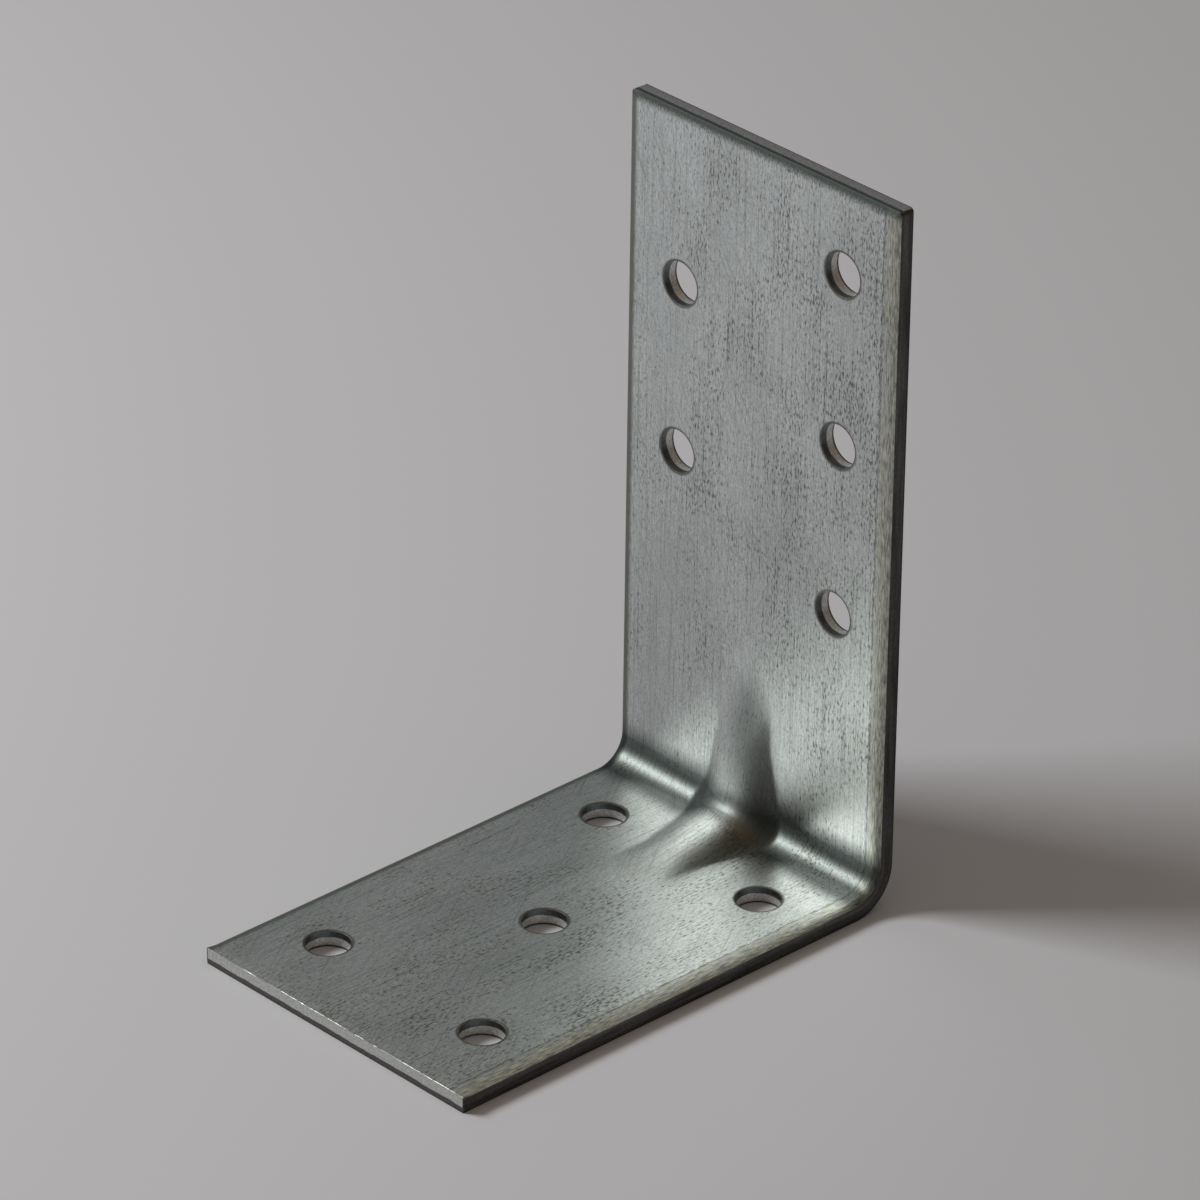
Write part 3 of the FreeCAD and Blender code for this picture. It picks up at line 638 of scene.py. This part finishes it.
def strikeTree(s, punch, columns):
    tree = bpy.data.node_groups.new("strikeAndFold", "GeometryNodeTree")
    tree.interface.new_socket("Geometry", in_out="INPUT", socket_type="NodeSocketGeometry")
    tree.interface.new_socket("Geometry", in_out="OUTPUT", socket_type="NodeSocketGeometry")
    for name in s:
        tree.interface.new_socket(name, in_out="INPUT", socket_type="NodeSocketFloat")
    source = addNode(tree, "NodeGroupInput")
    size = source.outputs
    calc = "ShaderNodeMath"

    # nail holes
    rows = [addNode(tree, "GeometryNodeMeshLine",
                    {"Count": count, "Start Location": (across, along, 0), "Offset": (0, pitch, 0)})
            for across, along, pitch, count in columns]
    plan = addNode(tree, "GeometryNodeJoinGeometry", {0: rows})
    tool = addNode(tree, "GeometryNodeObjectInfo", {"Object": punch})
    stamps = addNode(tree, "GeometryNodeInstanceOnPoints",
                     {"Points": plan, "Instance": tool.outputs["Geometry"]})
    stamps = addNode(tree, "GeometryNodeRealizeInstances", {0: stamps})
    pierced = addNode(tree, "GeometryNodeMeshBoolean", {"Mesh 1": size["Geometry"], "Mesh 2": stamps},
                      solver="EXACT")

    # what the materials follow: the place on the flat strip, and which faces were sheared
    place = addNode(tree, "GeometryNodeInputPosition")
    facing = addNode(tree, "ShaderNodeSeparateXYZ", {0: addNode(tree, "GeometryNodeInputNormal")})
    steep = addNode(tree, calc, {0: facing.outputs["Z"]}, operation="ABSOLUTE")
    steep = addNode(tree, calc, {0: steep, 1: size["cutSlope"]}, operation="LESS_THAN")
    mesh = addNode(tree, "GeometryNodeStoreNamedAttribute",
                   {"Geometry": pierced, "Name": "flat", "Value": place},
                   data_type="FLOAT_VECTOR", domain="POINT")
    mesh = addNode(tree, "GeometryNodeStoreNamedAttribute",
                   {"Geometry": mesh, "Name": "cut", "Value": steep}, data_type="FLOAT", domain="FACE")
    level = addNode(tree, "ShaderNodeVectorMath", {0: place, 1: (1, 1, 0)}, operation="MULTIPLY")
    centre = addNode(tree, "GeometryNodeProximity", {"Geometry": plan, "Sample Position": level},
                     target_element="POINTS")
    mesh = addNode(tree, "GeometryNodeStoreNamedAttribute",
                   {"Geometry": mesh, "Name": "fromHole", "Value": centre.outputs["Distance"]},
                   data_type="FLOAT", domain="POINT")

    spot = addNode(tree, "ShaderNodeSeparateXYZ", {0: place})
    x, v, w = spot.outputs["X"], spot.outputs["Y"], spot.outputs["Z"]
    # share of the way across the rolled edge, nought on the flat and one at the arris
    halfWidth = addNode(tree, calc, {0: size["width"], 1: 2.0}, operation="DIVIDE")
    halfLength = addNode(tree, calc, {0: size["flatLength"], 1: 2.0}, operation="DIVIDE")
    fromMiddle = addNode(tree, calc, {0: v, 1: halfLength}, operation="SUBTRACT")
    sideways = addNode(tree, calc, {0: x}, operation="ABSOLUTE")
    endways = addNode(tree, calc, {0: fromMiddle}, operation="ABSOLUTE")
    pastSide = addNode(tree, calc, {0: sideways, 1: halfWidth}, operation="SUBTRACT")
    pastEnd = addNode(tree, calc, {0: endways, 1: halfLength}, operation="SUBTRACT")
    past = addNode(tree, calc, {0: pastSide, 1: pastEnd}, operation="MAXIMUM")
    share = addNode(tree, calc, {0: past, 1: size["rollWidth"]}, operation="DIVIDE")
    share = addNode(tree, calc, {0: share, 1: 1.0}, operation="ADD", use_clamp=True)
    # the edge rolls down ever more steeply
    under = addNode(tree, calc, {0: share, 1: share}, operation="MULTIPLY")
    layer = addNode(tree, calc, {0: w, 1: size["thickness"]}, operation="DIVIDE")
    drop = addNode(tree, calc, {0: under, 1: size["rollDepth"]}, operation="MULTIPLY")
    drop = addNode(tree, calc, {0: drop, 1: layer}, operation="MULTIPLY")
    frontShare = addNode(tree, "ShaderNodeMapRange",
                         {"Value": v, "From Max": size["rollWidth"], "To Min": size["frontRoll"]})
    drop = addNode(tree, calc, {0: drop, 1: frontShare}, operation="MULTIPLY")
    worn = addNode(tree, "ShaderNodeMapRange", {"Value": v, "From Min": size["arris"], "From Max": 0.0})
    worn = addNode(tree, calc, {0: worn, 1: worn}, operation="MULTIPLY")
    worn = addNode(tree, calc, {0: worn, 1: size["arris"]}, operation="MULTIPLY")
    places = addNode(tree, calc, {0: 1.0, 1: size["wornLength"]}, operation="DIVIDE")
    places = addNode(tree, "ShaderNodeTexNoise", {"Vector": place, "Scale": places, "Detail": 2.0})
    places = addNode(tree, "ShaderNodeMapRange",
                     {"Value": places, "From Min": size["wornStart"], "From Max": size["wornFull"]})
    worn = addNode(tree, calc, {0: worn, 1: places}, operation="MULTIPLY")
    worn = addNode(tree, calc, {0: worn, 1: layer}, operation="MULTIPLY")
    drop = addNode(tree, calc, {0: drop, 1: worn}, operation="ADD")

    # depth below the crest across the rib: a round top on straight flanks
    belowFace = addNode(tree, calc, {0: size["thickness"], 1: w}, operation="SUBTRACT")
    radius = addNode(tree, calc, {0: size["ribCrest"], 1: belowFace}, operation="SUBTRACT")
    across = addNode(tree, calc, {0: x, 1: size["ribOffset"]}, operation="SUBTRACT")
    leftward = addNode(tree, calc, {0: across, 1: size["ribLeft"]}, operation="MULTIPLY")
    leftward = addNode(tree, calc, {0: leftward, 1: -1.0}, operation="MULTIPLY")
    aside = addNode(tree, calc, {0: across, 1: leftward}, operation="MAXIMUM")
    flankSine = addNode(tree, calc, {0: size["ribFlank"]}, operation="SINE")
    flankTan = addNode(tree, calc, {0: size["ribFlank"]}, operation="TANGENT")
    topEdge = addNode(tree, calc, {0: radius, 1: flankSine}, operation="MULTIPLY")
    onTop = addNode(tree, calc, {0: aside, 1: topEdge}, operation="MINIMUM")
    onFlank = addNode(tree, calc, {0: aside, 1: onTop}, operation="SUBTRACT")
    rise = addNode(tree, calc, {0: radius, 1: radius}, operation="MULTIPLY")
    reach = addNode(tree, calc, {0: onTop, 1: onTop}, operation="MULTIPLY")
    rise = addNode(tree, calc, {0: rise, 1: reach}, operation="SUBTRACT")
    rise = addNode(tree, calc, {0: rise}, operation="SQRT")
    deep = addNode(tree, calc, {0: size["ribCrest"], 1: rise}, operation="SUBTRACT")
    deep = addNode(tree, calc, {0: onFlank, 1: flankTan, 2: deep}, operation="MULTIPLY_ADD")

    # height of the rib over the face along the strip, the same on both legs
    middle = addNode(tree, calc, {0: size["foldStart"], 1: size["foldEnd"]}, operation="ADD")
    middle = addNode(tree, calc, {0: middle, 1: 2.0}, operation="DIVIDE")
    away = addNode(tree, calc, {0: v, 1: middle}, operation="SUBTRACT")
    away = addNode(tree, calc, {0: away}, operation="ABSOLUTE")
    turned = addNode(tree, calc, {0: away, 1: size["foldRadius"]}, operation="DIVIDE")
    turned = addNode(tree, calc, {0: turned, 1: math.pi / 4}, operation="MINIMUM")
    arcLength = addNode(tree, calc, {0: turned, 1: size["foldRadius"]}, operation="MULTIPLY")
    onLeg = addNode(tree, calc, {0: away, 1: arcLength}, operation="SUBTRACT")
    cosine = addNode(tree, calc, {0: turned}, operation="COSINE")
    sine = addNode(tree, calc, {0: turned}, operation="SINE")
    inward = addNode(tree, calc, {0: size["turnPlace"], 1: cosine}, operation="MULTIPLY")
    beside = addNode(tree, calc, {0: size["turnPlace"], 1: sine}, operation="MULTIPLY")
    shoulder = addNode(tree, calc, {0: size["ribShoulder"], 1: size["foldRadius"]}, operation="SUBTRACT")
    tapering = addNode(tree, calc, {0: onLeg, 1: shoulder}, operation="MINIMUM")
    beside = addNode(tree, calc, {0: beside, 1: tapering}, operation="SUBTRACT")
    turn = addNode(tree, calc, {0: size["ribTurn"], 1: deep}, operation="ADD")
    chord = addNode(tree, calc, {0: turn, 1: turn}, operation="MULTIPLY")
    gap = addNode(tree, calc, {0: beside, 1: beside}, operation="MULTIPLY")
    chord = addNode(tree, calc, {0: chord, 1: gap}, operation="SUBTRACT")
    chord = addNode(tree, calc, {0: chord, 1: 0.0}, operation="MAXIMUM")
    chord = addNode(tree, calc, {0: chord}, operation="SQRT")
    inside = addNode(tree, calc, {0: size["foldRadius"], 1: size["thickness"]}, operation="SUBTRACT")
    onTurn = addNode(tree, calc, {0: inside, 1: inward}, operation="ADD")
    onTurn = addNode(tree, calc, {0: onTurn, 1: chord}, operation="SUBTRACT")
    reachLeft = addNode(tree, calc, {0: size["ribReach"], 1: size["foldRadius"]}, operation="SUBTRACT")
    toGo = addNode(tree, calc, {0: reachLeft, 1: tapering}, operation="SUBTRACT")
    slopeTan = addNode(tree, calc, {0: size["ribSlope"]}, operation="TANGENT")
    slopeCos = addNode(tree, calc, {0: size["ribSlope"]}, operation="COSINE")
    slopeSine = addNode(tree, calc, {0: size["ribSlope"]}, operation="SINE")
    slant = addNode(tree, calc, {0: deep, 1: slopeCos}, operation="DIVIDE")
    onSlope = addNode(tree, calc, {0: toGo, 1: slopeTan}, operation="MULTIPLY")
    onSlope = addNode(tree, calc, {0: onSlope, 1: slant}, operation="SUBTRACT")
    tangent = addNode(tree, calc, {0: turn, 1: slopeSine}, operation="MULTIPLY")
    besideLeg = addNode(tree, calc, {0: size["turnPlace"], 1: math.sqrt(0.5)}, operation="MULTIPLY")
    besideLeg = addNode(tree, calc, {0: besideLeg, 1: onLeg}, operation="SUBTRACT")
    turning = addNode(tree, "FunctionNodeCompare", {0: besideLeg, 1: tangent}, operation="GREATER_THAN")
    height = addNode(tree, "GeometryNodeSwitch", {"Switch": turning, "False": onSlope, "True": onTurn},
                     input_type="FLOAT")
    height = addNode(tree, calc, {0: height, 1: belowFace}, operation="ADD")
    footLeft = addNode(tree, calc, {0: size["ribFootBlend"], 1: -1.0}, operation="MULTIPLY")
    footShare = addNode(tree, "ShaderNodeMapRange",
                        {"Value": across, "From Min": footLeft, "From Max": size["ribFootBlend"],
                         "To Min": size["ribFootLeft"], "To Max": size["ribFoot"]})
    lift = addNode(tree, calc, {0: height, 1: 0.0, 2: footShare}, operation="SMOOTH_MAX")
    # past the shoulder it only gets lower
    remaining = addNode(tree, calc, {0: reachLeft, 1: onLeg}, operation="SUBTRACT")
    taper = addNode(tree, calc, {0: remaining, 1: toGo}, operation="DIVIDE")
    taper = addNode(tree, calc, {0: taper, 1: 0.0, 2: size["ribEnd"]}, operation="SMOOTH_MAX")
    lift = addNode(tree, calc, {0: lift, 1: taper}, operation="MULTIPLY")

    # a sheet is never quite flat; the outer face stays so, as it lies on the floor
    scale = addNode(tree, calc, {0: 1.0, 1: size["waveLength"]}, operation="DIVIDE")
    wave = addNode(tree, "ShaderNodeTexNoise", {"Vector": place, "Scale": scale, "Detail": 1.0})
    wave = addNode(tree, calc, {0: wave, 1: 0.5}, operation="SUBTRACT")
    wave = addNode(tree, calc, {0: wave, 1: size["waviness"]}, operation="MULTIPLY")
    wave = addNode(tree, calc, {0: wave, 1: layer}, operation="MULTIPLY")
    level = addNode(tree, calc, {0: w, 1: drop}, operation="SUBTRACT")
    level = addNode(tree, calc, {0: level, 1: lift}, operation="ADD")
    level = addNode(tree, calc, {0: level, 1: wave}, operation="ADD")

    # the torn part of a sheared face leans inwards
    torn = addNode(tree, calc, {0: w, 1: size["breakHeight"]}, operation="DIVIDE")
    torn = addNode(tree, calc, {0: 1.0, 1: torn}, operation="SUBTRACT", use_clamp=True)
    torn = addNode(tree, calc, {0: torn, 1: size["breakLean"]}, operation="MULTIPLY")
    slack = -0.001               # mm inside the outline that count as on it
    onSide = addNode(tree, calc, {0: pastSide, 1: slack}, operation="GREATER_THAN")
    onEnd = addNode(tree, calc, {0: pastEnd, 1: slack}, operation="GREATER_THAN")
    sideSign = addNode(tree, calc, {0: x}, operation="SIGN")
    endSign = addNode(tree, calc, {0: fromMiddle}, operation="SIGN")
    leanSide = addNode(tree, calc, {0: onSide, 1: torn}, operation="MULTIPLY")
    leanSide = addNode(tree, calc, {0: leanSide, 1: sideSign}, operation="MULTIPLY")
    leanEnd = addNode(tree, calc, {0: onEnd, 1: torn}, operation="MULTIPLY")
    leanEnd = addNode(tree, calc, {0: leanEnd, 1: endSign}, operation="MULTIPLY")
    # the top corners are a little round: a square's corner drawn in to a circle's
    atTop = addNode(tree, calc, {0: fromMiddle, 1: 0.0}, operation="GREATER_THAN")
    nearSide = addNode(tree, calc, {0: pastSide, 1: size["cornerRound"]}, operation="DIVIDE")
    nearSide = addNode(tree, calc, {0: nearSide, 1: 1.0}, operation="ADD", use_clamp=True)
    nearEnd = addNode(tree, calc, {0: pastEnd, 1: size["cornerRound"]}, operation="DIVIDE")
    nearEnd = addNode(tree, calc, {0: nearEnd, 1: atTop}, operation="ADD", use_clamp=True)
    for near, other in ((nearSide, nearEnd), (nearEnd, nearSide)):
        pull = addNode(tree, calc, {0: other, 1: other}, operation="MULTIPLY")
        pull = addNode(tree, calc, {0: pull, 1: -0.5, 2: 1.0}, operation="MULTIPLY_ADD")
        pull = addNode(tree, calc, {0: pull}, operation="SQRT")
        pull = addNode(tree, calc, {0: 1.0, 1: pull}, operation="SUBTRACT")
        pull = addNode(tree, calc, {0: near, 1: pull}, operation="MULTIPLY")
        pull = addNode(tree, calc, {0: pull, 1: size["cornerRound"]}, operation="MULTIPLY")
        if near is nearSide:
            leanSide = addNode(tree, calc, {0: pull, 1: sideSign, 2: leanSide}, operation="MULTIPLY_ADD")
        else:
            leanEnd = addNode(tree, calc, {0: leanEnd, 1: pull}, operation="ADD")
    x = addNode(tree, calc, {0: x, 1: leanSide}, operation="SUBTRACT")
    v = addNode(tree, calc, {0: v, 1: leanEnd}, operation="SUBTRACT")

    # fold about the axis above the heel
    front = addNode(tree, calc, {0: v, 1: size["foldStart"]}, operation="MINIMUM")
    front = addNode(tree, calc, {0: front, 1: low[1]}, operation="ADD")
    axisY = addNode(tree, calc, {0: size["foldStart"], 1: low[1]}, operation="ADD")
    angle = addNode(tree, calc, {0: v, 1: size["foldStart"]}, operation="SUBTRACT")
    angle = addNode(tree, calc, {0: angle, 1: size["foldRadius"]}, operation="DIVIDE")
    angle = addNode(tree, calc, {0: angle, 1: 0.0}, operation="MAXIMUM")
    angle = addNode(tree, calc, {0: angle, 1: math.pi / 2}, operation="MINIMUM")
    above = addNode(tree, calc, {0: v, 1: size["foldEnd"]}, operation="SUBTRACT")
    above = addNode(tree, calc, {0: above, 1: 0.0}, operation="MAXIMUM")
    before = addNode(tree, "ShaderNodeCombineXYZ", {"X": x, "Y": front, "Z": level})
    axis = addNode(tree, "ShaderNodeCombineXYZ", {"Y": axisY, "Z": size["foldRadius"]})
    after = addNode(tree, "ShaderNodeVectorRotate", {"Vector": before, "Center": axis, "Angle": angle},
                    rotation_type="X_AXIS")
    climb = addNode(tree, "ShaderNodeCombineXYZ", {"Z": above})
    after = addNode(tree, "ShaderNodeVectorMath", {0: after, 1: climb}, operation="ADD")
    mesh = addNode(tree, "GeometryNodeSetPosition", {"Geometry": mesh, "Position": after})

    # smooth all over, apart from hole rims and arrises
    bendAngle = addNode(tree, "GeometryNodeInputMeshEdgeAngle")
    arris = addNode(tree, calc, {0: bendAngle, 1: size["sharpAngle"]}, operation="GREATER_THAN")
    rim = addNode(tree, calc, {0: arris, 1: pierced.outputs["Intersecting Edges"]}, operation="MAXIMUM")
    mesh = addNode(tree, "GeometryNodeSetShadeSmooth", {"Geometry": mesh}, domain="FACE")
    mesh = addNode(tree, "GeometryNodeSetShadeSmooth",
                   {"Geometry": mesh, "Selection": rim, "Shade Smooth": False}, domain="EDGE")
    mesh = addNode(tree, "GeometryNodeTransform", {"Geometry": mesh, "Scale": (mm, mm, mm)})
    mesh = addNode(tree, "GeometryNodeRealizeInstances", {0: mesh})
    mesh = addNode(tree, "GeometryNodeSetMaterial", {"Geometry": mesh, "Material": galvanised})
    sheared = addNode(tree, "GeometryNodeInputNamedAttribute", {"Name": "cut"}, data_type="FLOAT")
    mesh = addNode(tree, "GeometryNodeSetMaterial",
                   {"Geometry": mesh, "Selection": sheared, "Material": shearedSteel})
    addNode(tree, "NodeGroupOutput", {0: mesh})
    return tree


def buildBracket():
    blank = buildBlank(blankLines(strip, lattice))
    holeRadius = frame["record"]["mounts"][0]["dims"]["hole_r_mm"]
    punch = buildPunch(hole, holeRadius, strip["thickness"])
    strike = blank.modifiers.new("strike", "NODES")
    strike.node_group = strikeTree(strip, punch, holeColumns())
    for socket in strike.node_group.interface.items_tree:
        if socket.in_out == "INPUT" and socket.name in strip:
            strike[socket.identifier] = strip[socket.name]
    bpy.context.view_layer.update()
    folded = bpy.data.meshes.new_from_object(blank.evaluated_get(bpy.context.evaluated_depsgraph_get()))
    blank.modifiers.remove(strike)
    flatMesh = blank.data
    blank.data = folded
    bpy.data.meshes.remove(flatMesh)
    bpy.data.objects.remove(punch)
    return blank


bracket = buildBracket()
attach(bracket, "root")
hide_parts("angle_bracket")
print("bracket folded,", len(bracket.data.polygons), "faces")

bpy.context.scene.view_settings.view_transform = "Standard"
